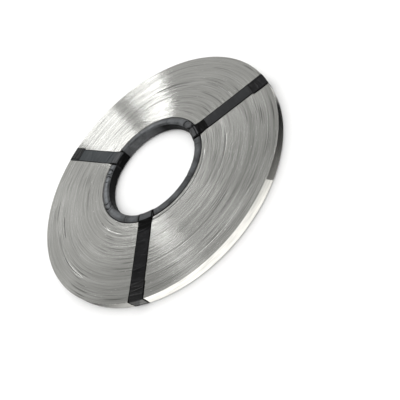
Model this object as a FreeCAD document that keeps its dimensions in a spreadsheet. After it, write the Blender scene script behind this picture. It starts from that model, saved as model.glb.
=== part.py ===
# Pancake coil of nichrome heating strip: flat strip wound on edge-to-edge turns
# round a soft black core ring, and bound by three lengths of black tape that each
# go once round the section of the coil and lap on themselves near the outer rim.
#
# Frame: millimetres, +Z up along the coil's axis. The origin is on the axis, in the
# plane that the coil lies on. The pieces are drawn about the coil's middle plane and
# lifted by half the core's width and one thickness of tape.
import FreeCAD, Part
import Sketcher
import math
import os

doc = FreeCAD.newDocument("nichrome_strip_coil")
V = FreeCAD.Vector

# ---------------------------------------------------------------- driving sizes
sheet = doc.addObject("Spreadsheet::Sheet", "Sizes")
SIZES = [
    # the wound strip
    ("coil_outer_radius", 145.0),
    ("coil_inner_radius", 63.5),
    ("strip_width", 10.0),
    ("turn_mark_depth", 0.2),
    ("turn_mark_width", 0.3),
    # the core ring that the first turn lies on
    ("core_bore_radius", 54.0),
    ("core_width", 12.0),
    ("core_round", 2.0),
    # the binding tape
    ("tape_width", 16.0),
    ("tape_thickness", 0.2),
    ("ramp_foot_radius", 70.5),
    ("lap_length", 17.0),
    ("lap_drop", 6.0),
    # each strap: the direction its centre line runs in, how far that line passes
    # to the side of the axis, and how far the lap slipped to the side
    ("strap_a_angle", 25.4),
    ("strap_a_offset", 1.5),
    ("strap_a_slip", -1.8),
    ("strap_b_angle", 157.2),
    ("strap_b_offset", -9.0),
    ("strap_b_slip", -1.6),
    ("strap_c_angle", 271.8),
    ("strap_c_offset", 3.8),
    ("strap_c_slip", 0.6),
]
for row, (alias, value) in enumerate(SIZES, 1):
    sheet.set("A%d" % row, alias)
    sheet.set("B%d" % row, str(value))
    sheet.setAlias("B%d" % row, alias)
doc.recompute()
S = {alias: float(sheet.get(alias)) for alias, _ in SIZES}
LIFT = "Sizes.core_width / 2 + Sizes.tape_thickness"


# ---------------------------------------------------------------- helpers
def origin_plane(body, role):
    for feature in body.Origin.OriginFeatures:
        if feature.Role == role:
            return feature
    raise RuntimeError("no plane " + role)


def closed_loop(sketch, prefix, points, arcs=None):
    """Draws a closed outline through points, each (x expression, y expression), with
    every corner held from the sketch's origin. arcs: {segment: (radius expression,
    centre x, centre y)} makes that segment an arc about the centre."""
    arcs = arcs or {}
    n = len(points)
    value = [(evaluate(px), evaluate(py)) for px, py in points]
    geo = []
    for i in range(n):
        a, b = value[i], value[(i + 1) % n]
        if i in arcs:
            radius, cx, cy = arcs[i]
            cx, cy, radius_value = evaluate(cx), evaluate(cy), evaluate(radius)
            t0 = math.atan2(a[1] - cy, a[0] - cx)
            t1 = math.atan2(b[1] - cy, b[0] - cx)
            turn = (t1 - t0) % (2 * math.pi)
            circle = Part.Circle(V(cx, cy, 0), V(0, 0, 1), radius_value)
            if turn < math.pi:
                geo.append((sketch.addGeometry(Part.ArcOfCircle(circle, t0, t1), False), 1, 2))
            else:
                geo.append((sketch.addGeometry(Part.ArcOfCircle(circle, t1, t0), False), 2, 1))
        else:
            geo.append((sketch.addGeometry(Part.LineSegment(V(a[0], a[1], 0), V(b[0], b[1], 0)), False), 1, 2))
    for i in range(n):
        g, _, end = geo[i]
        h, start, _ = geo[(i + 1) % n]
        sketch.addConstraint(Sketcher.Constraint("Coincident", g, end, h, start))
    for i in range(n):
        g, start, _ = geo[i]
        for kind, expression, number in (("DistanceX", points[i][0], value[i][0]), ("DistanceY", points[i][1], value[i][1])):
            name = "%s_%s%d" % (prefix, "x" if kind == "DistanceX" else "y", i)
            index = sketch.addConstraint(Sketcher.Constraint(kind, -1, 1, g, start, number))
            sketch.renameConstraint(index, name)
            sketch.setExpression("Constraints." + name, expression)
    for i in arcs:
        name = "%s_r%d" % (prefix, i)
        index = sketch.addConstraint(Sketcher.Constraint("Radius", geo[i][0], evaluate(arcs[i][0])))
        sketch.renameConstraint(index, name)
        sketch.setExpression("Constraints." + name, arcs[i][0])


def evaluate(expression):
    """The number that an expression on the sheet gives."""
    text = expression
    for alias in sorted(S, key=len, reverse=True):
        text = text.replace("Sizes." + alias, repr(S[alias]))
    total = sheet.evalExpression(text)
    return float(getattr(total, "Value", total))


def half_section_sketch(body, name):
    sketch = body.newObject("Sketcher::SketchObject", name)
    sketch.AttachmentSupport = [(origin_plane(body, "XZ_Plane"), "")]
    sketch.MapMode = "FlatFace"
    return sketch


# ---------------------------------------------------------------- the wound strip
coil = doc.addObject("PartDesign::Body", "Coil")
coil.Label = "nichrome_strip_coil"
section = half_section_sketch(coil, "CoilSection")
closed_loop(
    section,
    "c",
    [
        ("Sizes.coil_inner_radius", "-Sizes.strip_width / 2"),
        ("Sizes.coil_outer_radius", "-Sizes.strip_width / 2"),
        ("Sizes.coil_outer_radius", "Sizes.strip_width / 2"),
        ("Sizes.coil_inner_radius", "Sizes.strip_width / 2"),
    ],
)
turned = coil.newObject("PartDesign::Revolution", "CoilTurned")
turned.Profile = section
turned.ReferenceAxis = (section, ["V_Axis"])
turned.Angle = 360.0
doc.recompute()
whole = turned.Shape.Volume

# Where a few of the turns sit a little apart, a fine line runs round both ends.
marks = half_section_sketch(coil, "TurnMarks")
spaces = [3.1, 4.6, 5.9, 4.1, 6.4, 5.0, 4.4, 6.1, 3.8, 5.6, 6.8, 4.9, 5.3, 6.2, 4.5]
at, half = S["coil_inner_radius"], S["strip_width"] / 2
for space in spaces:
    at += space
    if at > S["coil_outer_radius"] - 2:
        break
    for side in (1, -1):
        w, d, over = S["turn_mark_width"] / 2, S["turn_mark_depth"], 0.5
        slope = w / d * (d + over)
        corners = [V(at, side * (half - d), 0), V(at + slope, side * (half + over), 0), V(at - slope, side * (half + over), 0)]
        ids = [marks.addGeometry(Part.LineSegment(corners[i], corners[(i + 1) % 3]), False) for i in range(3)]
        for i in range(3):
            marks.addConstraint(Sketcher.Constraint("Coincident", ids[i], 2, ids[(i + 1) % 3], 1))
cut = coil.newObject("PartDesign::Groove", "TurnMarksCut")
cut.Profile = marks
cut.ReferenceAxis = (marks, ["V_Axis"])
cut.Angle = 360.0
doc.recompute()
if not cut.Shape.Volume < whole:
    raise RuntimeError("the turn marks cut nothing")
coil.setExpression("Placement.Base.z", LIFT)

# ---------------------------------------------------------------- the core ring
core = doc.addObject("PartDesign::Body", "Core")
core.Label = "core_ring"
core_section = half_section_sketch(core, "CoreSection")
closed_loop(
    core_section,
    "k",
    [
        ("Sizes.core_bore_radius", "-Sizes.core_width / 2"),
        ("Sizes.coil_inner_radius", "-Sizes.core_width / 2"),
        ("Sizes.coil_inner_radius", "Sizes.core_width / 2"),
        ("Sizes.core_bore_radius", "Sizes.core_width / 2"),
    ],
)
ring = core.newObject("PartDesign::Revolution", "CoreTurned")
ring.Profile = core_section
ring.ReferenceAxis = (core_section, ["V_Axis"])
ring.Angle = 360.0
doc.recompute()
rims = [
    "Edge%d" % (i + 1)
    for i, edge in enumerate(ring.Shape.Edges)
    if edge.Curve.TypeId == "Part::GeomCircle" and abs(edge.BoundBox.ZLength) < 1e-6
]
rounds = core.newObject("PartDesign::Fillet", "CoreRounds")
rounds.Base = (ring, rims)
rounds.Radius = S["core_round"]
rounds.setExpression("Radius", "Sizes.core_round")
doc.recompute()
core.setExpression("Placement.Base.z", LIFT)

# ---------------------------------------------------------------- the binding tape
# One thickness of tape as it would lie all round the section: over the rim, along
# both ends, up the ramp on to the core and through the bore. Each strap is a
# straight-sided length of it, so it follows the round rim and the round bore.


def standing_sketch(name):
    sketch = doc.addObject("Sketcher::SketchObject", name)
    sketch.Placement = FreeCAD.Placement(V(0, 0, 0), FreeCAD.Rotation(V(1, 0, 0), 90))
    return sketch


def tape_loop(grow):
    """The tape's face on the coil (grow 0) or its outer face (grow 1)."""
    t = " + %d * Sizes.tape_thickness" % grow
    m = " - %d * Sizes.tape_thickness" % grow
    end, hub = "Sizes.strip_width / 2" + t, "Sizes.core_width / 2" + t
    rim, bore = "Sizes.coil_outer_radius" + t, "Sizes.core_bore_radius" + m
    shoulder = "Sizes.core_bore_radius + Sizes.core_round"
    crest = "Sizes.coil_inner_radius - Sizes.core_round"
    foot = "Sizes.ramp_foot_radius"
    wall = "Sizes.core_width / 2 - Sizes.core_round"
    points = [
        (rim, end),
        (foot, end),
        (crest, hub),
        (shoulder, hub),
        (bore, wall),
        (bore, "-(%s)" % wall),
        (shoulder, "-(%s)" % hub),
        (crest, "-(%s)" % hub),
        (foot, "-(%s)" % end),
        (rim, "-(%s)" % end),
    ]
    radius = "Sizes.core_round" + t
    arcs = {3: (radius, shoulder, wall), 5: (radius, shoulder, "-(%s)" % wall)}
    return points, arcs


def turned_solid(name, sketch):
    made = doc.addObject("Part::Revolution", name)
    made.Source = sketch
    made.Axis = V(0, 0, 1)
    made.Base = V(0, 0, 0)
    made.Angle = 360.0
    made.Solid = True
    return made


outer_sketch = standing_sketch("TapeOuterLine")
closed_loop(outer_sketch, "o", *tape_loop(1))
inner_sketch = standing_sketch("TapeInnerLine")
closed_loop(inner_sketch, "i", *tape_loop(0))
lap_sketch = standing_sketch("TapeLapLine")
closed_loop(
    lap_sketch,
    "l",
    [
        ("Sizes.coil_outer_radius - Sizes.lap_length", "Sizes.strip_width / 2 + Sizes.tape_thickness"),
        ("Sizes.coil_outer_radius + Sizes.tape_thickness", "Sizes.strip_width / 2 + Sizes.tape_thickness"),
        ("Sizes.coil_outer_radius + Sizes.tape_thickness", "Sizes.strip_width / 2 - Sizes.lap_drop"),
        ("Sizes.coil_outer_radius + 2 * Sizes.tape_thickness", "Sizes.strip_width / 2 - Sizes.lap_drop"),
        ("Sizes.coil_outer_radius + 2 * Sizes.tape_thickness", "Sizes.strip_width / 2 + 2 * Sizes.tape_thickness"),
        ("Sizes.coil_outer_radius - Sizes.lap_length", "Sizes.strip_width / 2 + 2 * Sizes.tape_thickness"),
    ],
)
doc.recompute()
tape_outer = turned_solid("TapeOuter", outer_sketch)
tape_inner = turned_solid("TapeInner", inner_sketch)
tape_lap = turned_solid("TapeLapTurned", lap_sketch)
shell = doc.addObject("Part::Cut", "TapeShell")
shell.Base, shell.Tool = tape_outer, tape_inner
doc.recompute()


def slot(name, strap, slip):
    """A box as wide as the tape, along the strap's own line."""
    box = doc.addObject("Part::Box", name)
    box.setExpression("Length", "Sizes.coil_outer_radius + 5")
    box.setExpression("Width", "Sizes.tape_width")
    box.setExpression("Height", "Sizes.core_width + 8")
    angle, offset = "Sizes.%s_angle" % strap, "Sizes.%s_offset" % strap
    side = "(%s + %s - Sizes.tape_width / 2)" % (offset, slip)
    box.Placement = FreeCAD.Placement(V(0, 0, 0), FreeCAD.Rotation(V(0, 0, 1), S[strap + "_angle"]))
    box.setExpression("Placement.Rotation.Angle", angle)
    box.setExpression("Placement.Base.x", "20 * cos(%s * 1 deg) - %s * sin(%s * 1 deg)" % (angle, side, angle))
    box.setExpression("Placement.Base.y", "20 * sin(%s * 1 deg) + %s * cos(%s * 1 deg)" % (angle, side, angle))
    box.setExpression("Placement.Base.z", "-(Sizes.core_width + 8) / 2")
    return box


straps = []
for letter in "abc":
    strap = "strap_" + letter
    band = doc.addObject("Part::Common", "Band_" + letter)
    band.Base, band.Tool = shell, slot("BandSlot_" + letter, strap, "0")
    lap = doc.addObject("Part::Common", "Lap_" + letter)
    lap.Base, lap.Tool = tape_lap, slot("LapSlot_" + letter, strap, "Sizes.%s_slip" % strap)
    joined = doc.addObject("Part::Fuse", "Strap_" + letter)
    joined.Base, joined.Tool = band, lap
    joined.Refine = True
    joined.Label = "tape_" + strap
    joined.setExpression("Placement.Base.z", LIFT)
    straps.append(joined)
doc.recompute()

# ---------------------------------------------------------------- checks and export
pieces = [coil, core] + straps
for made in doc.Objects:
    if "Invalid" in made.State or "Error" in made.State:
        raise RuntimeError("%s failed: %s" % (made.Name, made.State))
os.makedirs("parts", exist_ok=True)
for made in pieces:
    shape = made.Shape
    if shape.isNull() or not shape.isValid():
        raise RuntimeError(made.Label + " has no valid shape")
    if len(shape.Solids) != 1:
        raise RuntimeError("%s has %d solids" % (made.Label, len(shape.Solids)))
for made in pieces:
    shape = made.Shape
    shape.exportStep(os.path.join("parts", made.Label + ".step"))
    box = shape.BoundBox
    print("%-22s volume %10.1f  x %.2f..%.2f  y %.2f..%.2f  z %.3f..%.3f" % (made.Label, shape.Volume, box.XMin, box.XMax, box.YMin, box.YMax, box.ZMin, box.ZMax))
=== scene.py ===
"""Pancake coil of nichrome heating strip: the turns, the wrapped core ring and the tape straps."""

import math

import bpy
import numpy as np
from mathutils import Matrix, Quaternion, Vector


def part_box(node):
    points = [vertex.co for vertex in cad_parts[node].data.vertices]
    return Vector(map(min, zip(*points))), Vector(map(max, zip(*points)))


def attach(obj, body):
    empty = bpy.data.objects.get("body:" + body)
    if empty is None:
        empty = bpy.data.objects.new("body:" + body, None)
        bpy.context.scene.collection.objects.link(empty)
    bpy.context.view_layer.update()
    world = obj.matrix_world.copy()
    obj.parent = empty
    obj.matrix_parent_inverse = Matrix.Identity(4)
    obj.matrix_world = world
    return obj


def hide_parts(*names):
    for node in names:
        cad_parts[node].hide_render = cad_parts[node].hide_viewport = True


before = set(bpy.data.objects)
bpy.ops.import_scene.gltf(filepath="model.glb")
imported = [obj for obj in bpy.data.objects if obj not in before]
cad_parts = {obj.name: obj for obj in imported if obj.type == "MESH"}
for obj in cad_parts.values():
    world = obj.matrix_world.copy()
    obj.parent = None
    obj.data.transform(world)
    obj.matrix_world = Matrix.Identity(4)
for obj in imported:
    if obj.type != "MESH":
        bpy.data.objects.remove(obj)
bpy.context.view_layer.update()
RNG = np.random.default_rng(57)

# ------------------------------------------------------------------ sizes, from the frame
lo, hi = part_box("nichrome_strip_coil")
R_OUT = (hi.x - lo.x) / 2
Z_TOP, Z_BOT = hi.z, lo.z
core_lo, core_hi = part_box("core_ring")
CORE_TOP, CORE_BOT = core_hi.z, core_lo.z
Z_MID = (Z_TOP + Z_BOT) / 2
R_IN = 0.0635          # first turn, on the core
R_BORE = 0.0540        # core ring's bore
TAPE = 0.0002
TAPE_W = 0.016
LAP_IN, LAP_DOWN = 0.017, 0.006
RAMP = 0.0705          # where the tape leaves the face of the coil for the core
TAU = 2 * math.pi

scene = bpy.context.scene


# ------------------------------------------------------------------ helpers
def add_mesh(name, verts, faces, smooth=True):
    me = bpy.data.meshes.new(name)
    verts = np.asarray(verts, np.float32).reshape(-1, 3)
    faces = np.asarray(faces, np.int32).reshape(-1, 4)
    me.vertices.add(len(verts))
    me.vertices.foreach_set("co", verts.ravel())
    me.loops.add(faces.size)
    me.loops.foreach_set("vertex_index", faces.ravel())
    me.polygons.add(len(faces))
    me.polygons.foreach_set("loop_start", np.arange(0, faces.size, 4, dtype=np.int32))
    me.polygons.foreach_set("loop_total", np.full(len(faces), 4, np.int32))
    me.polygons.foreach_set("use_smooth", np.full(len(faces), smooth))
    me.update(calc_edges=True)
    me.validate()
    ob = bpy.data.objects.new(name, me)
    scene.collection.objects.link(ob)
    return ob


def smooth_noise(n, lowest, highest, seed, fall=0.0):
    """A periodic curve of n samples, roughly within -1..1, made of waves lowest..highest."""
    g = np.random.default_rng(seed)
    a = np.arange(n) / n * TAU
    out = np.zeros(n)
    for k in range(lowest, highest + 1):
        out += g.normal() / k ** fall * np.cos(k * a + g.uniform(0, TAU))
    s = np.abs(out).max()
    return out / s if s > 0 else out


def bell(x, at, width):
    return np.exp(-(((x - at) / width) ** 2))


def turn_gap(a, b):
    """Signed angle from b to a in degrees, -180..180."""
    return (a - b + 180) % 360 - 180


# ------------------------------------------------------------------ the wound strip
N_ANG = 360
ang = np.arange(N_ANG) / N_ANG * TAU
deg = np.degrees(ang)

# Short arcs where two turns stand apart: radius, middle of the arc, half its length, depth
GAPS = [
    (0.1187, 201.0, 7.0, 0.0007),
    (0.1271, 229.0, 9.0, 0.0007),
    (0.0668, 318.0, 34.0, 0.0008),
    (0.1100, 85.0, 8.0, 0.0004),
    (0.0905, 352.0, 13.0, 0.0005),
    (0.1324, 318.0, 15.0, 0.0005),
    (0.0842, 188.0, 12.0, 0.0004),
    (0.1105, 44.0, 11.0, 0.0004),
    (0.0745, 236.0, 14.0, 0.0004),
]


def face_rings(seed):
    """Radii of the rings of one face and how far below the face each point of them lies."""
    g = np.random.default_rng(seed)
    radii = [R_IN + 0.00002]
    while radii[-1] < R_OUT - 0.0011:
        radii.append(radii[-1] + g.choice([0.00055, 0.0007, 0.00085, 0.0010], p=[0.35, 0.3, 0.2, 0.15]))
    radii = np.array(radii)
    radii = R_IN + (radii - radii[0]) * (R_OUT - 0.0003 - R_IN) / (radii[-1] - radii[0])
    drop = np.zeros((len(radii), N_ANG))
    for i in range(len(radii)):
        wave = smooth_noise(N_ANG, 1, 9, seed * 1000 + i, 0.35)
        level = abs(g.normal()) * 0.000012
        short = smooth_noise(N_ANG, 12, 64, seed * 3000 + i, 0.3)
        drop[i] = level + 0.000010 * (1 + wave) + 0.000016 * g.uniform(0.2, 1.0) * (1 + short)
        if g.uniform() < 0.07:
            # a turn that has sunk below its neighbours along part of its length
            drop[i] += g.uniform(0.00004, 0.00009) * np.clip(0.5 + smooth_noise(N_ANG, 1, 6, seed * 5000 + i, 0.2), 0, 1)
    # broad, slow waves of the whole winding
    for k in range(5):
        c, w = g.uniform(R_IN + 0.006, R_OUT - 0.004), g.uniform(0.004, 0.011)
        drop += bell(radii, c, w)[:, None] * 0.00003 * (1 + smooth_noise(N_ANG, 1, 3, seed * 77 + k)[None, :])
    if seed == 1:
        for r0, mid, half, depth in GAPS:
            i = int(np.argmin(np.abs(radii - r0)))
            window = np.clip(1.25 - np.abs(turn_gap(deg, mid)) / half, 0, 1)
            drop[i] += depth * np.minimum(1, window * 2)
    # the first turn next to the core stands a little apart from the second
    drop[0] *= 0.3
    return radii, drop


def coil_mesh():
    verts, loops = [], []

    def ring(r, z):
        r = np.broadcast_to(r, (N_ANG,))
        z = np.broadcast_to(z, (N_ANG,))
        verts.append(np.stack([r * np.cos(ang), r * np.sin(ang), z], 1))
        return len(verts) - 1

    # inner wall going up, top face going out, rim going down, bottom face going in
    top_r, top_d = face_rings(1)
    bot_r, bot_d = face_rings(2)
    order = []
    for r, d in zip(top_r, top_d):
        order.append(ring(r, Z_TOP - d))
    # the outer turn's rounded edge, then its flat side with the faintest waviness
    wob = smooth_noise(N_ANG, 2, 9, 31, 0.5)
    order.append(ring(R_OUT - 0.00012, Z_TOP - 0.00003))
    order.append(ring(R_OUT - 0.00003, Z_TOP - 0.00012))
    for k, f in enumerate(np.linspace(0.04, 0.96, 9)):
        inset = 0.00003 * (1 + smooth_noise(N_ANG, 2, 12, 400 + k, 0.4)) + 0.00003 * (1 + wob) * math.sin(f * math.pi)
        order.append(ring(R_OUT - inset, Z_TOP + (Z_BOT - Z_TOP) * f))
    order.append(ring(R_OUT - 0.00003, Z_BOT + 0.00012))
    order.append(ring(R_OUT - 0.00012, Z_BOT + 0.00003))
    for r, d in zip(bot_r[::-1], bot_d[::-1]):
        order.append(ring(r, Z_BOT + d))
    n = len(order)
    faces = []
    j = np.arange(N_ANG)
    k = (j + 1) % N_ANG
    for i in range(n):
        a, b = order[i] * N_ANG, order[(i + 1) % n] * N_ANG
        faces.append(np.stack([a + j, b + j, b + k, a + k], 1))
    # the axis is +Z and the section runs outwards on top, so this winding faces out
    ob = add_mesh("coil_of_strip", np.concatenate(verts), np.concatenate(faces))
    n_top = len(top_r)
    side = np.zeros(len(ob.data.polygons), np.int32)
    side[(n_top - 1) * N_ANG:(n_top + 12) * N_ANG] = 1
    ob.data.polygons.foreach_set("material_index", side)
    # painted shade: marks the gaps between turns, and the first turn beside the core, to be painted dark
    gap_shade = np.zeros(len(ob.data.vertices), np.float32)
    for r0, mid, half, depth in GAPS:
        i = int(np.argmin(np.abs(top_r - r0)))
        window = np.clip(1.25 - np.abs(turn_gap(deg, mid)) / half, 0, 1)
        gap_shade[i * N_ANG:(i + 1) * N_ANG] = np.minimum(1, window * 2) * depth / 0.0008
    gap_shade[:N_ANG] = 0.55
    ob.data.attributes.new("gap_shade", "FLOAT", "POINT").data.foreach_set("value", gap_shade)
    return ob


# ------------------------------------------------------------------ sections in the (r, z) plane
CORE_ROUND = 0.0030
CROWN = 0.00035        # how much the ring's flat top is arched


def core_section(step=0.0004):
    """Closed outline of the core ring, counter-clockwise seen along +Y: (r, z) from Z_MID."""
    half = (CORE_TOP - CORE_BOT) / 2
    w = R_IN - R_BORE
    pts = []
    c = CORE_ROUND

    def arc(cx, cz, a0, a1, n=12):
        for t in np.linspace(math.radians(a0), math.radians(a1), n):
            pts.append((cx + c * math.cos(t), cz + c * math.sin(t)))

    arc(R_BORE + c, half - c, 180, 90)
    arc(R_IN - c, half - c, 90, 0)
    arc(R_IN - c, -half + c, 0, -90)
    arc(R_BORE + c, -half + c, -90, -180)
    return resample(np.array(pts), step, closed=True)


def resample(p, step, closed=False):
    if closed:
        p = np.vstack([p, p[:1]])
    seg = np.linalg.norm(np.diff(p, axis=0), axis=1)
    keep = np.concatenate([[True], seg > 1e-9])
    p = p[keep]
    seg = np.linalg.norm(np.diff(p, axis=0), axis=1)
    s = np.concatenate([[0], np.cumsum(seg)])
    n = max(4, int(round(s[-1] / step)))
    t = np.linspace(0, s[-1], n + 1)
    out = np.stack([np.interp(t, s, p[:, 0]), np.interp(t, s, p[:, 1])], 1)
    return out[:-1] if closed else out


def normals_2d(p, closed=False):
    """Outward normals of an outline that runs with its outside on the left."""
    if closed:
        d = np.roll(p, -1, 0) - np.roll(p, 1, 0)
    else:
        d = np.gradient(p, axis=0)
    d /= np.linalg.norm(d, axis=1)[:, None]
    return np.stack([-d[:, 1], d[:, 0]], 1)


def core_mesh():
    n_ang = 540
    a = np.arange(n_ang) / n_ang * TAU
    dg = np.degrees(a)
    p = core_section(0.00045)
    nrm = normals_2d(p, closed=True)
    m = len(p)
    psi = np.arange(m) / m
    rr = np.zeros((m, n_ang))
    # the cover is a tape wound round the ring in a long helix, so each wrap's edge is a slanting step
    wraps = 46
    painted_core_shade = np.zeros((m, n_ang), np.float32)
    warp = 0.16 * smooth_noise(n_ang, 3, 30, 9, 0.3)
    for i in range(m):
        phase = (a / TAU * wraps + psi[i] * 1.0 + warp + 0.05 * math.sin(psi[i] * TAU * 2)) % 1.0
        rr[i] -= 0.00009 * phase
        rr[i] -= 0.00004 * (1 + smooth_noise(n_ang, 4, 40, 700 + i // 3, 0.5))
    # creases across the ring where it has been bent, each curved like a C, with a raised lip beside it
    for at, depth, width, lean in [
        (38, 0.0011, 0.95, 8.0), (47, 0.0007, 0.8, -6.0), (216, 0.0012, 1.0, -8.0), (209, 0.0007, 0.8, -5.0), (222, 0.0005, 0.6, 4.0),
        (165, 0.0009, 0.7, 4.5), (169, 0.0007, 0.6, -4.0), (173.5, 0.0008, 0.65, 4.0), (179, 0.0005, 0.6, -3.0), (292, 0.0003, 0.7, 3.0),
        (112, 0.0003, 0.8, -3.0), (332, 0.0003, 0.8, 4.0), (8, 0.0003, 0.7, -3.0),
        # beside the tape straps' edges; their dark colour is painted shadow of the straps
        (35.4, 0.0009, 1.5, 0.0), (18.4, 0.0008, 1.2, 0.0), (156.9, 0.0007, 1.0, 0.0), (139.8, 0.0007, 1.0, 0.0), (284.0, 0.0006, 0.9, 0.0), (267.0, 0.0006, 0.9, 0.0),
        (250, 0.0004, 0.7, 3.5), (131, 0.0003, 0.7, 4.0), (75, 0.0003, 0.7, -4.0),
    ]:
        for i in range(m):
            # only on the crowns
            up = nrm[i, 1]
            across = (p[i, 0] - (R_BORE + R_IN) / 2) / (R_IN - R_BORE) * 2
            mid = at + lean * (across * across - 0.4) * (1 if up > 0 else -1) * 0.6
            reach = max(0.0, abs(up)) ** 0.6
            line = bell(turn_gap(dg, mid), 0, width) * reach
            lip = bell(turn_gap(dg, mid), width * 2.0, width * 1.2) * reach
            rr[i] += depth * (0.25 * lip - line)
            # painted shade: the creases are painted near black, the deeper the darker
            painted_core_shade[i] = np.maximum(painted_core_shade[i], line * min(1.0, depth / 0.0006))
    # long soft dents along the crowns
    for i in range(m):
        rr[i] -= 0.00010 * (1 + smooth_noise(n_ang, 3, 16, 900 + i // 5, 0.3)) * max(0.0, abs(nrm[i, 1]))
    # painted shade: the shoulder that meets the first turn is painted dark, as it lies in shade
    for i in range(m):
        painted_core_shade[i] = np.maximum(painted_core_shade[i], 0.85 * np.clip((p[i, 0] - (R_IN - 0.0016)) / 0.0012, 0, 1))
    rr = np.minimum(rr, 0.0)
    verts = np.zeros((m, n_ang, 3))
    for i in range(m):
        r = p[i, 0] + nrm[i, 0] * rr[i]
        z = Z_MID + p[i, 1] + nrm[i, 1] * rr[i]
        verts[i] = np.stack([r * np.cos(a), r * np.sin(a), z], 1)
    i = np.arange(m)[:, None]
    j = np.arange(n_ang)[None, :]
    i2, j2 = (i + 1) % m, (j + 1) % n_ang
    faces = np.stack(np.broadcast_arrays(i * n_ang + j, i2 * n_ang + j, i2 * n_ang + j2, i * n_ang + j2), -1)
    ob = add_mesh("core_cover", verts.reshape(-1, 3), faces.reshape(-1, 4))
    ob.data.attributes.new("painted_core_shade", "FLOAT", "POINT").data.foreach_set("value", painted_core_shade.ravel())
    # painted highlight: the top of the crown is painted lighter along its middle, most of all on one side
    side = np.clip(1.3 - np.abs(turn_gap(dg, 196)) / 42, 0, 1) + 0.55 * np.clip(1.2 - np.abs(turn_gap(dg, 100)) / 40, 0, 1)
    painted_crown_highlight = np.zeros((m, n_ang), np.float32)
    for i in range(m):
        across = (p[i, 0] - (R_BORE + R_IN) / 2) / (R_IN - R_BORE) * 2
        painted_crown_highlight[i] = bell(across, -0.05, 0.42) * max(0.0, nrm[i, 1]) * (0.12 + side)
    ob.data.attributes.new("painted_crown_highlight", "FLOAT", "POINT").data.foreach_set("value", np.clip(painted_crown_highlight, 0, 1).ravel())
    # painted light: one stretch of the bore's wall is painted lighter, where light falls on it
    painted_bore_light = np.clip(1.15 - np.abs(turn_gap(dg, 120)) / 34, 0, 1) ** 0.7
    painted_bore_light = np.broadcast_to(painted_bore_light[None, :], (m, n_ang)).astype(np.float32)
    ob.data.attributes.new("painted_bore_light", "FLOAT", "POINT").data.foreach_set("value", painted_bore_light.ravel())
    # painted shade: the bore's wall takes a near-black, dull copy of the wrap (black_core_bore)
    wall = (p[:, 0] < R_BORE + 0.0007) & (np.roll(p[:, 0], -1) < R_BORE + 0.0007)
    index = np.repeat(wall.astype(np.int32)[:, None], n_ang, 1)
    # painted shade: faces in the deepest creases and on the shoulder take the near-black, dull black_core_shade copy of
    # the wrap
    deep = (painted_core_shade + np.roll(painted_core_shade, -1, 0) + np.roll(painted_core_shade, -1, 1) + np.roll(np.roll(painted_core_shade, -1, 0), -1, 1)) / 4 > 0.60
    index[deep & (index == 0)] = 2
    ob.data.polygons.foreach_set("material_index", index.ravel())
    return ob


# ------------------------------------------------------------------ tape straps
def tape_path(step=0.0005):
    """Once round the section and on over its own start: (r, z) from Z_MID, with the outside on
    the left of the direction of travel, and the distance along it. It starts part way up the
    rim and goes up, in over the top, down the bore, out below and up the rim again."""
    half = (Z_TOP - Z_BOT) / 2
    hub = (CORE_TOP - CORE_BOT) / 2
    c = CORE_ROUND
    e = 0.0003
    top = []

    def bend(out, cx, cz, rad, a0, a1, n=6):
        for t in np.linspace(math.radians(a0), math.radians(a1), n):
            out.append((cx + rad * math.cos(t), cz + rad * math.sin(t)))

    bend(top, R_OUT - e, half - e, e, 0, 90)
    # the ramp: the tape bridges from the face to the crown of the core in a soft S
    x0, x1 = RAMP + 0.0010, R_IN - c + 0.0006
    for t in np.linspace(0, 1, 24):
        top.append((x0 + (x1 - x0) * t, half + (hub - half) * (t * t * (3 - 2 * t))))
    bend(top, R_BORE + c, hub - c, c, 90, 180, 12)
    top = np.array(top)
    bottom = top[::-1] * [1, -1]
    start = half - LAP_DOWN
    loop = np.vstack([[(R_OUT, start)], top, bottom, [(R_OUT, start)]])
    end = [(R_OUT, half - e)]
    bend(end, R_OUT - e, half - e, e, 0, 90)
    end.append((R_OUT - LAP_IN, half))
    whole = np.vstack([loop, end])
    return resample(whole, step)


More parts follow.
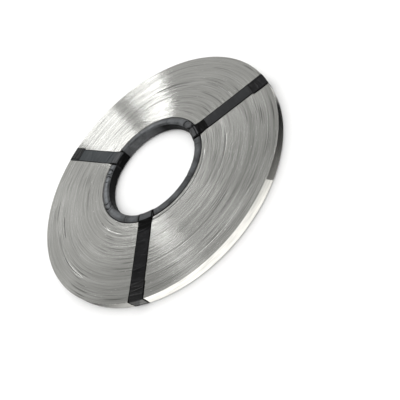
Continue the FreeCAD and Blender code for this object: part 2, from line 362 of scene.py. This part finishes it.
def strap_mesh(name, angle, offset, slip, seed, folds, ramp, lines):
    g = np.random.default_rng(seed)
    p = tape_path()
    nrm = -normals_2d(p)
    n = len(p)
    s = np.concatenate([[0], np.cumsum(np.linalg.norm(np.diff(p, axis=0), axis=1))])
    total = s[-1]
    lap = LAP_DOWN + LAP_IN
    over = np.clip((s - (total - lap) + 0.0015) / 0.0015, 0, 1)     # 1 on the second layer
    nw = 41
    v = np.linspace(-1, 1, nw)
    half_w = TAPE_W / 2
    # sideways: the tape wanders a little, and its end has slipped
    t = s / total
    wander = 0.00025 * np.sin(t * TAU * 1.3 + seed) + slip * np.clip((s - (total - lap - 0.05)) / 0.05, 0, 1) ** 1.5
    edge_l = 0.00009 * np.interp(np.arange(n), np.arange(n), np.convolve(g.normal(size=n + 24), np.ones(25) / 5, "valid")[:n])
    edge_r = 0.00009 * np.convolve(g.normal(size=n + 24), np.ones(25) / 5, "valid")[:n]
    w = offset + wander[:, None] + v[None, :] * half_w + np.where(v < 0, edge_l[:, None], edge_r[:, None]) * np.abs(v)[None, :] ** 3
    lift = TAPE * over[:, None] * np.ones((1, nw))
    on_top = (p[:, 1] > 0)
    flat = np.clip(np.minimum(p[:, 0] - R_IN, R_OUT - 0.001 - p[:, 0]) / 0.002, 0, 1)
    # long, shallow puckers, and ripples across where the tape leaves the face
    ripple = np.zeros((n, nw))
    for k in range(7):
        at, wid, tilt = g.uniform(R_IN + 0.004, R_OUT - 0.004), g.uniform(0.0008, 0.0022), g.normal() * 0.0035
        ripple += 0.00005 * g.uniform(0.3, 1.0) * bell(p[:, 0][:, None] + tilt * v[None, :], at, wid)
    for r0, amp, wid, tilt, v0, vw in folds:
        ripple += amp * bell(p[:, 0][:, None] + tilt * v[None, :], r0, wid) * bell(v, v0, vw)[None, :] * on_top[:, None]
    lift += ripple * np.clip(flat, 0, 1)[:, None] + 0.00004 * on_top[:, None] * bell(v, 0, 0.8)[None, :] * flat[:, None]
    # the cut end of the tape lifts by a hair
    lift += 0.00012 * np.clip((s - total + 0.0022) / 0.0022, 0, 1)[:, None] * (0.4 + 0.6 * bell(v, -0.9 if seed % 2 else 0.9, 0.7))[None, :]
    lift = np.maximum(lift, 0)

    d = np.array([math.cos(math.radians(angle)), math.sin(math.radians(angle))])
    q = np.array([-d[1], d[0]])

    def layer(extra):
        r = p[:, 0][:, None] + nrm[:, 0][:, None] * (lift + extra)
        z = Z_MID + p[:, 1][:, None] + nrm[:, 1][:, None] * (lift + extra)
        rho = np.sqrt(np.maximum(r * r - w * w, 1e-10))
        x = rho * d[0] + w * q[0]
        y = rho * d[1] + w * q[1]
        return np.stack([x, y, z], -1)

    outer = layer(TAPE * 0.98)
    inner = layer(TAPE * 0.04)
    verts = np.concatenate([outer.reshape(-1, 3), inner.reshape(-1, 3)])
    faces = []
    idx = np.arange(n * nw).reshape(n, nw)
    a, b, c, e = idx[:-1, :-1], idx[1:, :-1], idx[1:, 1:], idx[:-1, 1:]
    faces.append(np.stack([a, b, c, e], -1).reshape(-1, 4))
    off = n * nw
    faces.append(np.stack([a + off, e + off, c + off, b + off], -1).reshape(-1, 4))
    for col, flip in ((0, True), (nw - 1, False)):
        u, w2 = idx[:-1, col], idx[1:, col]
        quad = np.stack([u, w2, w2 + off, u + off], -1)
        faces.append(quad[:, ::-1] if flip else quad)
    for row, flip in ((0, False), (n - 1, True)):
        u, w2 = idx[row, :-1], idx[row, 1:]
        quad = np.stack([u, w2, w2 + off, u + off], -1)
        faces.append(quad[:, ::-1] if flip else quad)
    ob = add_mesh(name, verts, np.concatenate(faces))
    # painted shade: the ramp and the stretch in the bore take a darker, duller copy of the tape; painted light: the
    # part over the crown takes a lighter grey copy
    mid = (p[:-1, 0] + p[1:, 0]) / 2
    zone = np.zeros(n - 1, np.int32)
    zone[mid < R_IN - 0.0006] = 2
    zone[mid < R_BORE + 0.0009] = 1
    zone[(mid >= R_IN - 0.0006) & (mid < RAMP + ramp)] = 1
    if ramp <= -1:
        zone[mid >= R_IN - 0.0006] = 0
    second = (over[:-1] > 0.5)
    zone[second] = 3
    # painted shade: dark lines along both edges, wider on the crown, and in its deepest creases
    zone = np.repeat(zone[:, None], nw - 1, 1)
    vm = np.abs(v[:-1] + v[1:])[None, :] / 2
    crown = (zone == 2) | ((mid[:, None] < R_IN) & (mid[:, None] > R_BORE + 0.0009))
    zone = np.where((vm > (0.96 if ramp <= -1 else 0.92)) | (crown & (vm > (0.86 if ramp > 0.0033 else 0.91))), 1, zone)
    if ramp > 0.0033:
        for r0 in lines[1:3]:
            zone[crown[:, 0] & (np.abs(mid - r0) < 0.0004)] = 1
    zone = zone.ravel()
    index = np.zeros(len(ob.data.polygons), np.int32)
    index[:len(zone) * 2] = np.concatenate([zone, zone])
    ob.data.polygons.foreach_set("material_index", index)
    # painted shade along both edges and at the cut end
    shade_mask = np.clip((np.abs(v)[None, :] - 0.80) / 0.14, 0, 1) * np.ones((n, 1))
    shade_mask = np.maximum(shade_mask, np.clip((s - total + 0.0010) / 0.0006, 0, 1)[:, None])
    # painted shade on the shadow side of each fold
    for r0, amp, wid, tilt, v0, vw in folds:
        line = bell(p[:, 0][:, None] + tilt * v[None, :], r0 - wid * 1.3, 0.0005) * bell(v, v0, vw * 1.1)[None, :] * on_top[:, None]
        shade_mask = np.maximum(shade_mask, line * min(1.0, amp / 0.0004))
    # painted shade: dark lines where the tape creases over the core
    for r0 in lines:
        line = bell(p[:, 0][:, None] + 0.0006 * np.sin(v * 4 + r0 * 9000)[None, :], r0, 0.00045) * on_top[:, None]
        shade_mask = np.maximum(shade_mask, 0.9 * line)
    shade_mask = shade_mask.astype(np.float32)
    ob.data.attributes.new("shade_mask", "FLOAT", "POINT").data.foreach_set("value", np.concatenate([shade_mask.ravel(), shade_mask.ravel()]))
    return ob


# ------------------------------------------------------------------ node helpers
def new_material(name):
    m = bpy.data.materials.new(name)
    m.use_nodes = True
    nt = m.node_tree
    bsdf = next(x for x in nt.nodes if x.type == "BSDF_PRINCIPLED")
    return m, nt, bsdf


class Graph:
    def __init__(self, nt):
        self.nt = nt

    def put(self, socket, value):
        if isinstance(value, bpy.types.NodeSocket):
            self.nt.links.new(value, socket)
        elif value is not None:
            socket.default_value = value

    def math(self, op, a, b=None, c=None, clamp=False):
        n = self.nt.nodes.new("ShaderNodeMath")
        n.operation = op
        n.use_clamp = clamp
        for i, x in enumerate((a, b, c)):
            if x is not None:
                self.put(n.inputs[i], x)
        return n.outputs[0]

    def vmath(self, op, a, b=None, scale=None):
        n = self.nt.nodes.new("ShaderNodeVectorMath")
        n.operation = op
        self.put(n.inputs[0], a)
        if b is not None:
            self.put(n.inputs[1], b)
        if scale is not None:
            self.put(n.inputs["Scale"], scale)
        return n.outputs["Value"] if op in ("LENGTH", "DOT_PRODUCT", "DISTANCE") else n.outputs[0]

    def coords(self):
        return self.nt.nodes.new("ShaderNodeTexCoord").outputs["Object"]

    def xyz(self, v):
        n = self.nt.nodes.new("ShaderNodeSeparateXYZ")
        self.put(n.inputs[0], v)
        return n.outputs

    def combine(self, x, y, z):
        n = self.nt.nodes.new("ShaderNodeCombineXYZ")
        for s, val in zip(n.inputs, (x, y, z)):
            self.put(s, val)
        return n.outputs[0]

    def noise(self, v, scale=1.0, detail=2.0, rough=0.5, distortion=0.0):
        n = self.nt.nodes.new("ShaderNodeTexNoise")
        self.put(n.inputs["Vector"], v)
        n.inputs["Scale"].default_value = scale
        n.inputs["Detail"].default_value = detail
        n.inputs["Roughness"].default_value = rough
        n.inputs["Distortion"].default_value = distortion
        return n.outputs["Fac"]

    def remap(self, x, a, b, c, d, clamp=True):
        n = self.nt.nodes.new("ShaderNodeMapRange")
        n.clamp = clamp
        self.put(n.inputs["Value"], x)
        for k, val in zip(("From Min", "From Max", "To Min", "To Max"), (a, b, c, d)):
            n.inputs[k].default_value = val
        return n.outputs["Result"]

    def ramp(self, x, stops):
        n = self.nt.nodes.new("ShaderNodeValToRGB")
        el = n.color_ramp.elements
        while len(el) > 1:
            el.remove(el[0])
        el[0].position, el[0].color = stops[0][0], (*stops[0][1], 1)
        for pos, col in stops[1:]:
            new = el.new(pos)
            new.color = (*col, 1)
        self.put(n.inputs[0], x)
        return n.outputs["Color"]

    def mix(self, fac, a, b, blend="MIX"):
        n = self.nt.nodes.new("ShaderNodeMix")
        n.data_type = "RGBA"
        n.blend_type = blend
        self.put(n.inputs[0], fac)
        self.put(n.inputs[6], a if isinstance(a, bpy.types.NodeSocket) else (*a, 1))
        self.put(n.inputs[7], b if isinstance(b, bpy.types.NodeSocket) else (*b, 1))
        return n.outputs[2]

    def bump(self, height, strength, distance, normal=None):
        n = self.nt.nodes.new("ShaderNodeBump")
        n.inputs["Strength"].default_value = strength
        n.inputs["Distance"].default_value = distance
        self.put(n.inputs["Height"], height)
        if normal is not None:
            self.put(n.inputs["Normal"], normal)
        return n.outputs[0]


def polar(g):
    """(r in metres, unit vector of the direction from the axis, z)."""
    x, y, z = g.xyz(g.coords())
    flat = g.combine(x, y, 0.0)
    return g.vmath("LENGTH", flat), g.vmath("NORMALIZE", flat), z


def ring_noise(g, r, unit, around, pitch, shift=0.0, detail=2.0, rough=0.5):
    """Noise drawn out round the axis: 'around' features a radian, one each 'pitch' along r."""
    ux, uy, _ = g.xyz(unit)
    v = g.combine(
        g.math("MULTIPLY", ux, around),
        g.math("MULTIPLY", uy, around),
        g.math("MULTIPLY_ADD", r, 1.0 / pitch, shift),
    )
    return g.noise(v, 1.0, detail, rough)


# ------------------------------------------------------------------ materials
def radial_tangent(nt, b):
    tan = nt.nodes.new("ShaderNodeTangent")
    tan.direction_type = "RADIAL"
    tan.axis = "Z"
    nt.links.new(tan.outputs[0], b.inputs["Tangent"])
    b.inputs["Anisotropic Rotation"].default_value = 0.25


def face_material():
    """The edges of the turns: bright metal drawn out in fine lines round the axis."""
    m, nt, b = new_material("nichrome_turn_edges")
    g = Graph(nt)
    r, unit, z = polar(g)
    fine = ring_noise(g, r, unit, 1.1, 0.00050, 0.0, 2.0, 0.6)
    mid = ring_noise(g, r, unit, 1.3, 0.0014, 40.0, 2.0, 0.6)
    broad = ring_noise(g, r, unit, 1.2, 0.0060, 90.0, 1.0, 0.5)
    dark = ring_noise(g, r, unit, 3.2, 0.0008, 170.0, 0.0, 0.5)
    where = ring_noise(g, r, unit, 1.5, 0.02, 300.0, 0.0, 0.5)
    tone = g.math("ADD", g.math("MULTIPLY", fine, 0.63), g.math("ADD", g.math("MULTIPLY", mid, 0.22), g.math("MULTIPLY", broad, 0.15)))
    colour = g.ramp(tone, [(0.32, (0.44, 0.44, 0.418)), (0.44, (0.545, 0.545, 0.522)), (0.56, (0.63, 0.63, 0.608)), (0.68, (0.72, 0.72, 0.70))])
    lines = g.math("MULTIPLY", g.remap(dark, 0.64, 0.76, 0.0, 0.75), g.remap(where, 0.40, 0.60, 0.15, 1.0))
    colour = g.mix(lines, colour, (0.17, 0.17, 0.16))
    seam = ring_noise(g, r, unit, 2.4, 0.00115, 410.0, 1.0, 0.5)
    here = ring_noise(g, r, unit, 1.7, 0.014, 520.0, 0.0, 0.5)
    seam = g.math("MULTIPLY", g.remap(seam, 0.585, 0.675, 0.0, 0.62), g.remap(here, 0.35, 0.60, 0.35, 1.0))
    # the far part of the winding is the looser one
    far = nt.nodes.new("ShaderNodeVectorMath")
    far.operation = "DOT_PRODUCT"
    nt.links.new(unit, far.inputs[0])
    far.inputs[1].default_value = (-0.42, 0.91, 0.0)
    seam = g.math("MULTIPLY", seam, g.remap(far.outputs["Value"], 0.30, 0.80, 0.32, 1.0))
    colour = g.mix(seam, colour, (0.16, 0.16, 0.155))
    # painted shade: near black in the gaps between turns and along the first turn
    gap_shade = nt.nodes.new("ShaderNodeAttribute")
    gap_shade.attribute_name = "gap_shade"
    colour = g.mix(gap_shade.outputs["Fac"], colour, (0.03, 0.03, 0.03))
    speck = g.noise(g.coords(), 620.0, 0.0, 0.5)
    speck = g.remap(speck, 0.815, 0.84, 0.0, 1.0)
    colour = g.mix(speck, colour, (1.0, 1.0, 1.0))
    g.put(b.inputs["Base Color"], colour)
    b.inputs["Metallic"].default_value = 1.0
    g.put(b.inputs["Roughness"], g.math("ADD", g.remap(broad, 0.3, 0.7, 0.13, 0.19), g.math("MULTIPLY", gap_shade.outputs["Fac"], 0.4)))
    b.inputs["Anisotropic"].default_value = 1.0
    radial_tangent(nt, b)
    h = g.math("ADD", g.math("MULTIPLY", fine, 0.5), mid)
    g.put(b.inputs["Normal"], g.bump(h, 0.8, 0.00005))
    return m


def rim_material():
    """The flat side of the last turn: smooth rolled strip with faint lines along it."""
    m, nt, b = new_material("nichrome_strip_side")
    g = Graph(nt)
    r, unit, z = polar(g)
    lines = ring_noise(g, z, unit, 1.2, 0.0005, 10.0, 2.0, 0.5)
    blot = ring_noise(g, z, unit, 6.0, 0.006, 55.0, 2.0, 0.5)
    colour = g.ramp(g.math("ADD", g.math("MULTIPLY", lines, 0.5), g.math("MULTIPLY", blot, 0.5)), [(0.32, (0.46, 0.455, 0.435)), (0.5, (0.62, 0.61, 0.59)), (0.68, (0.76, 0.75, 0.725))])
    g.put(b.inputs["Base Color"], colour)
    b.inputs["Metallic"].default_value = 1.0
    g.put(b.inputs["Roughness"], g.remap(blot, 0.3, 0.7, 0.14, 0.22))
    b.inputs["Anisotropic"].default_value = 0.5
    radial_tangent(nt, b)
    g.put(b.inputs["Normal"], g.bump(lines, 0.4, 0.00004))
    return m


def core_material(name, low, high, specular, rough, painted_bore_light=None):
    m, nt, b = new_material(name)
    g = Graph(nt)
    v = g.coords()
    grain = g.noise(v, 900.0, 3.0, 0.6)
    cloud = g.noise(v, 70.0, 3.0, 0.65)
    dust = g.noise(v, 260.0, 4.0, 0.7)
    colour = g.mix(g.remap(cloud, 0.35, 0.65, 0.0, 1.0), low, high)
    colour = g.mix(g.remap(dust, 0.60, 0.78, 0.0, 0.25), colour, tuple(3.2 * c for c in high))
    # painted highlight: the crown is painted lighter along its top
    crown_highlight_attr = nt.nodes.new("ShaderNodeAttribute")
    crown_highlight_attr.attribute_name = "painted_crown_highlight"
    highlight_streaks = g.math("MULTIPLY", crown_highlight_attr.outputs["Fac"], g.remap(g.noise(v, 150.0, 4.0, 0.7), 0.38, 0.62, 0.25, 0.9))
    colour = g.mix(highlight_streaks, colour, tuple(3.0 * c for c in high))
    line = nt.nodes.new("ShaderNodeAttribute")
    line.attribute_name = "painted_core_shade"
    # painted light: a lighter patch on one stretch of the bore's wall
    if painted_bore_light:
        bore_light_attr = nt.nodes.new("ShaderNodeAttribute")
        bore_light_attr.attribute_name = "painted_bore_light"
        patch = g.math("MULTIPLY", bore_light_attr.outputs["Fac"], g.remap(g.noise(v, 120.0, 3.0, 0.6), 0.3, 0.7, 0.55, 1.0))
        colour = g.mix(patch, colour, painted_bore_light)
    # painted shade: near black in the creases and along the shoulder
    colour = g.mix(line.outputs["Fac"], colour, (0.002, 0.002, 0.002))
    g.put(b.inputs["Base Color"], colour)
    g.put(b.inputs["Roughness"], g.math("ADD", g.remap(grain, 0.3, 0.7, rough - 0.08, rough + 0.08), g.math("MULTIPLY", line.outputs["Fac"], 0.3), clamp=True))
    b.inputs["Specular IOR Level"].default_value = specular
    wrinkle = g.noise(v, 230.0, 2.0, 0.55, 0.6)
    g.put(b.inputs["Normal"], g.bump(grain, 0.25, 0.0001, g.bump(wrinkle, 0.55, 0.0008)))
    return m


def tape_material(name, angle, low, high, rough, specular, outline=0.6):
    """Black plastic tape: fine stretch lines across it, dust and scuffs."""
    m, nt, b = new_material(name)
    g = Graph(nt)
    v = g.coords()
    a = math.radians(angle)
    along = g.vmath("DOT_PRODUCT", v, (math.cos(a), math.sin(a), 0.0))
    across = g.vmath("DOT_PRODUCT", v, (-math.sin(a), math.cos(a), 0.0))
    _, _, z = g.xyz(v)
    stretch = g.noise(g.combine(g.math("MULTIPLY", along, 900.0), g.math("MULTIPLY", across, 70.0), g.math("MULTIPLY", z, 900.0)), 1.0, 3.0, 0.6)
    bands = g.noise(g.combine(g.math("MULTIPLY", along, 210.0), g.math("MULTIPLY", across, 30.0), g.math("MULTIPLY", z, 210.0)), 1.0, 1.0, 0.5)
    grain = g.noise(v, 1400.0, 2.0, 0.6)
    cloud = g.noise(v, 60.0, 3.0, 0.6)
    scuff = g.noise(v, 320.0, 5.0, 0.75)
    colour = g.mix(g.remap(cloud, 0.3, 0.7, 0.0, 1.0), low, high)
    colour = g.mix(g.remap(stretch, 0.55, 0.75, 0.0, 0.25), colour, (0.09, 0.09, 0.095))
    colour = g.mix(g.remap(scuff, 0.64, 0.80, 0.0, 0.30), colour, (0.10, 0.10, 0.105))
    # painted shade along the edges, at the cut end, in the folds and in the crease lines
    shade_mask = nt.nodes.new("ShaderNodeAttribute")
    shade_mask.attribute_name = "shade_mask"
    colour = g.mix(g.math("MULTIPLY", shade_mask.outputs["Fac"], outline), colour, (0.0015, 0.0015, 0.0015))
    g.put(b.inputs["Base Color"], colour)
    g.put(b.inputs["Roughness"], g.math("ADD", g.remap(bands, 0.3, 0.7, rough - 0.07, rough + 0.07), g.math("MULTIPLY", shade_mask.outputs["Fac"], 0.3)))
    b.inputs["Specular IOR Level"].default_value = specular
    h = g.math("ADD", g.math("MULTIPLY", bands, 1.0), g.math("ADD", g.math("MULTIPLY", stretch, 0.35), g.math("MULTIPLY", grain, 0.08)))
    g.put(b.inputs["Normal"], g.bump(h, 0.5, 0.0004))
    return m


# ------------------------------------------------------------------ build the pieces
coil = coil_mesh()
coil.data.materials.append(face_material())
coil.data.materials.append(rim_material())
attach(coil, "root")
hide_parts("nichrome_strip_coil")

core = core_mesh()
core.data.materials.append(core_material("black_core_wrap", (0.010, 0.0105, 0.0115), (0.070, 0.074, 0.079), 0.45, 0.34))
# painted shade: near-black, dull copy of the wrap for the bore's wall, also carrying the painted light patch
core.data.materials.append(core_material("black_core_bore", (0.002, 0.002, 0.0022), (0.005, 0.005, 0.0055), 0.08, 0.60, (0.125, 0.128, 0.132)))
core.data.materials.append(core_material("black_core_shade", (0.0012, 0.0012, 0.0013), (0.0030, 0.0030, 0.0032), 0.04, 0.60))
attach(core, "root")
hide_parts("core_ring")

# painted light and shade: one tape, given a lighter copy for strap b and a darker one for strap c by how much light
# each catches
TONES = {
    "a": ((0.010, 0.0105, 0.0115), (0.018, 0.019, 0.021), 0.38, 0.22),
    "b": ((0.012, 0.0165, 0.0195), (0.020, 0.0255, 0.0295), 0.38, 0.37),
    "c": ((0.0025, 0.0025, 0.0028), (0.007, 0.007, 0.008), 0.30, 0.12),
}
# radii of the creases across each strap where it turns over the core, drawn only as painted shade lines
LINES = {"a": [0.0652, 0.0630, 0.0604, 0.0562], "b": [0.0655, 0.0632, 0.0598, 0.0560], "c": [0.0648, 0.0565]}
LAPS = {
    "a": ((0.003, 0.003, 0.0034), (0.012, 0.012, 0.013), 0.30, 0.14),
    "b": ((0.004, 0.0045, 0.005), (0.013, 0.014, 0.015), 0.34, 0.17),
    "c": ((0.002, 0.002, 0.0022), (0.006, 0.006, 0.0065), 0.24, 0.30),
}
STRAPS = [
    # node, angle, offset, slip, seed, folds: (radius, height, width, lean, side, how wide)
    ("a", 25.4, 0.0015, -0.0018, 3, [
        (0.0745, 0.0004, 0.0008, 0.0010, 0.0, 1.2), (0.0790, 0.0002, 0.0010, -0.001, 0.3, 0.8),
        (0.1300, 0.00035, 0.0007, 0.0010, 0.5, 0.7), (0.1345, 0.00045, 0.0007, -0.0012, -0.3, 0.8), (0.1385, 0.00035, 0.0006, 0.0008, 0.4, 0.6)]),
    ("b", 157.2, -0.0090, -0.0016, 4, [
        (0.0740, 0.0003, 0.0010, -0.0012, 0.0, 1.0), (0.1080, 0.00014, 0.0014, 0.004, -0.4, 0.7),
        (0.1315, 0.00035, 0.0007, 0.0010, -0.5, 0.7), (0.1370, 0.00035, 0.0007, -0.0012, 0.3, 0.8)]),
    ("c", 271.8, 0.0038, 0.0006, 7, [
        (0.0745, 0.0004, 0.0009, 0.0008, 0.0, 1.2), (0.1145, 0.0005, 0.0008, 0.0010, 0.1, 1.1), (0.1160, 0.0003, 0.0006, -0.0010, -0.3, 0.6),
        (0.1290, 0.00055, 0.0007, 0.0012, 0.1, 1.1), (0.1325, 0.00045, 0.0006, -0.0010, -0.2, 0.8), (0.1355, 0.0005, 0.0006, 0.0009, 0.3, 0.8), (0.1400, 0.00045, 0.0007, -0.0006, 0.0, 1.0)]),
]
for letter, angle, offset, slip, seed, folds in STRAPS:
    strap = strap_mesh("tape_" + letter, angle, offset, slip, seed, folds, {"a": 0.0035, "b": -1, "c": 0.0032}[letter], LINES[letter])
    strap.data.materials.append(tape_material("black_tape_" + letter, angle, *TONES[letter]))
    # painted shade: darker, duller copy of the tape for the ramp, the bore, the edges and the crease lines
    strap.data.materials.append(tape_material("black_tape_shade_" + letter, angle, (0.0015, 0.0015, 0.0016), (0.003, 0.003, 0.003), 0.5, 0.04))
    # painted light: lighter grey copy of the tape over the crown
    strap.data.materials.append(tape_material("black_tape_crown_light_" + letter, angle, (0.018, 0.019, 0.021), (0.050, 0.053, 0.058), 0.36, 0.48, 0.95))
    strap.data.materials.append(tape_material("black_tape_lap_" + letter, angle, *LAPS[letter], 1.0))
    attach(strap, "root")
    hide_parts("tape_strap_" + letter)

# ------------------------------------------------------------------ floor and light
def floor():
    me = bpy.data.meshes.new("floor")
    s = 40.0
    me.from_pydata([(-s, -s, 0), (s, -s, 0), (s, s, 0), (-s, s, 0)], [], [(0, 1, 2, 3)])
    ob = bpy.data.objects.new("floor", me)
    scene.collection.objects.link(ob)
    m, nt, b = new_material("pale_floor")
    b.inputs["Base Color"].default_value = (0.93, 0.93, 0.93, 1)
    b.inputs["Roughness"].default_value = 0.9
    b.inputs["Specular IOR Level"].default_value = 0.1
    me.materials.append(m)
    return ob


floor()


def area(name, azimuth, elevation, distance, width, height, radiance, slant=0.0, target=(0, 0, 0.01)):
    """A softbox whose face has the given radiance, seen from the middle of the coil. slant: degrees,
    the top towards a larger azimuth."""
    data = bpy.data.lights.new(name, "AREA")
    data.shape = "RECTANGLE"
    data.size, data.size_y = width, height
    data.energy = radiance * width * height * math.pi
    ob = bpy.data.objects.new(name, data)
    scene.collection.objects.link(ob)
    a, e = math.radians(azimuth), math.radians(elevation)
    pos = Vector(target) + distance * Vector((math.cos(e) * math.cos(a), math.cos(e) * math.sin(a), math.sin(e)))
    ob.location = pos
    ob.rotation_mode = "QUATERNION"
    ob.rotation_quaternion = (pos - Vector(target)).to_track_quat("Z", "Y") @ Quaternion((0, 0, 1), -math.radians(slant))
    ob.visible_camera = False
    return ob


area("box_far_right", 125.8, 30.8, 2.0, 0.056, 0.25, 8.2, 54.0)
area("box_far_left", 134.5, 30.3, 2.0, 0.200, 0.26, 2.9, 3.0)
area("box_far_high", 141.5, 41.0, 2.0, 0.11, 0.20, 2.0).visible_diffuse = False
area("box_far_wide", 145.0, 33.0, 2.0, 0.36, 0.30, 0.09).visible_diffuse = False
# softboxes for the other sides, which only show in the metal
for name, az, el, width, height, radiance in [
    ("box_left_a", 214.0, 31.0, 0.10, 0.50, 3.2), ("box_left_b", 223.0, 31.0, 0.22, 0.50, 2.6),
    ("box_front_a", 262.0, 33.0, 0.12, 0.50, 3.0), ("box_front_b", 273.0, 33.0, 0.22, 0.50, 2.4),
    ("box_near_a", 302.0, 33.0, 0.22, 0.50, 2.6), ("box_near_b", 314.0, 33.0, 0.12, 0.50, 3.0),
    ("box_right_a", 28.0, 30.0, 0.12, 0.50, 3.2), ("box_right_b", 38.0, 30.0, 0.24, 0.50, 2.6),
    ("box_back", 84.0, 33.0, 0.20, 0.50, 2.4), ("box_side", 172.0, 24.0, 0.16, 0.40, 2.4), ("box_top", 100.0, 77.0, 0.22, 0.50, 1.6),
]:
    area(name, az, el, 2.0, width, height, radiance).visible_diffuse = False

sun = bpy.data.lights.new("sky_panel", "SUN")
sun.angle = math.radians(100)
sun.energy = 2.05
sun_ob = bpy.data.objects.new("sky_panel", sun)
scene.collection.objects.link(sun_ob)
sun_ob.visible_glossy = False


def rim_flag(name, start, end, inner, outer, tones):
    """A low card laid beside the rim, which only shows in its reflection. tones: (degrees, grey)."""
    n = 90
    a = np.radians(np.linspace(start, end, n))
    verts = [(r * math.cos(t), r * math.sin(t), 0.00006) for t in a for r in (inner, outer)]
    faces = [(2 * i, 2 * i + 1, 2 * i + 3, 2 * i + 2) for i in range(n - 1)]
    me = bpy.data.meshes.new(name)
    me.from_pydata(verts, [], faces)
    tone = np.interp(np.degrees(a), *zip(*sorted(tones)))
    me.attributes.new("tone", "FLOAT", "POINT").data.foreach_set("value", np.repeat(tone, 2).astype(np.float32))
    m, nt, b = new_material(name)
    nt.nodes.remove(b)
    em = nt.nodes.new("ShaderNodeEmission")
    at = nt.nodes.new("ShaderNodeAttribute")
    at.attribute_name = "tone"
    em.inputs["Color"].default_value = (1.0, 1.0, 0.97, 1)
    nt.links.new(at.outputs["Fac"], em.inputs["Strength"])
    out = next(x for x in nt.nodes if x.type == "OUTPUT_MATERIAL")
    nt.links.new(em.outputs[0], out.inputs["Surface"])
    me.materials.append(m)
    ob = bpy.data.objects.new(name, me)
    scene.collection.objects.link(ob)
    ob.visible_camera = False
    ob.visible_diffuse = False
    ob.visible_shadow = False
    ob.visible_transmission = False
    return ob


rim_flag("flag_right", -21.0, 24.0, R_OUT + 0.0006, R_OUT + 0.05, [(24, 0.80), (17, 0.30), (13, 0.01), (4, 0.03), (-8, 0.10), (-21, 0.28)])
rim_flag("card_low", -88.0, -21.0, R_OUT + 0.0006, R_OUT + 0.05, [(-21, 1.25), (-50, 1.6), (-88, 1.7)])
rim_flag("flag_left", -135.0, -90.0, R_OUT + 0.0006, R_OUT + 0.05, [(-90, 0.80), (-100, 0.45), (-110, 0.15), (-135, 0.05)])

world = bpy.data.worlds.new("studio")
scene.world = world
world.use_nodes = True
bg = next(n for n in world.node_tree.nodes if n.type == "BACKGROUND")
# from the height of a direction: white where it meets the floor, a darker ring half way up
sky = Graph(world.node_tree)
up = sky.xyz(world.node_tree.nodes.new("ShaderNodeTexCoord").outputs["Generated"])[2]
shade = [(0.0, 1.0, 1.0), (0.16, 1.0, 1.0), (0.32, 0.62, 0.985), (0.48, 0.61, 0.985), (0.55, 0.545, 0.985), (0.60, 0.46, 0.98),
         (0.66, 0.375, 0.98), (0.72, 0.325, 0.98), (0.80, 0.38, 0.985), (0.90, 0.62, 0.99), (1.0, 0.66, 0.99)]
sky.put(bg.inputs["Color"], sky.ramp(up, [(at, (v, v, v * blue)) for at, v, blue in shade]))
bg.inputs["Strength"].default_value = 1.0
scene.view_settings.view_transform = "Standard"
scene.view_settings.look = "None"
scene.view_settings.exposure = 0.0

# ------------------------------------------------------------------ camera
turn = Vector((2.44546581, -0.12341645, -0.76606686))
to_camera = Matrix.Rotation(turn.length, 3, turn.normalized())
place = Vector((-0.37077415, -0.20285172, 3.59355635))
back = to_camera.transposed()
eye = -(back @ place) * R_OUT + Vector((0, 0, Z_TOP))
cam_data = bpy.data.cameras.new("camera")
cam_data.sensor_width = 36.0
cam_data.lens = 45.95
cam_data.shift_x = -0.0061
cam_data.shift_y = -0.0080
cam_data.clip_start = 0.01
cam = bpy.data.objects.new("camera", cam_data)
scene.collection.objects.link(cam)
cam.matrix_world = Matrix.Translation(eye) @ (back @ Matrix.Diagonal((1, -1, -1))).to_4x4()
scene.camera = cam

bpy.context.view_layer.update()
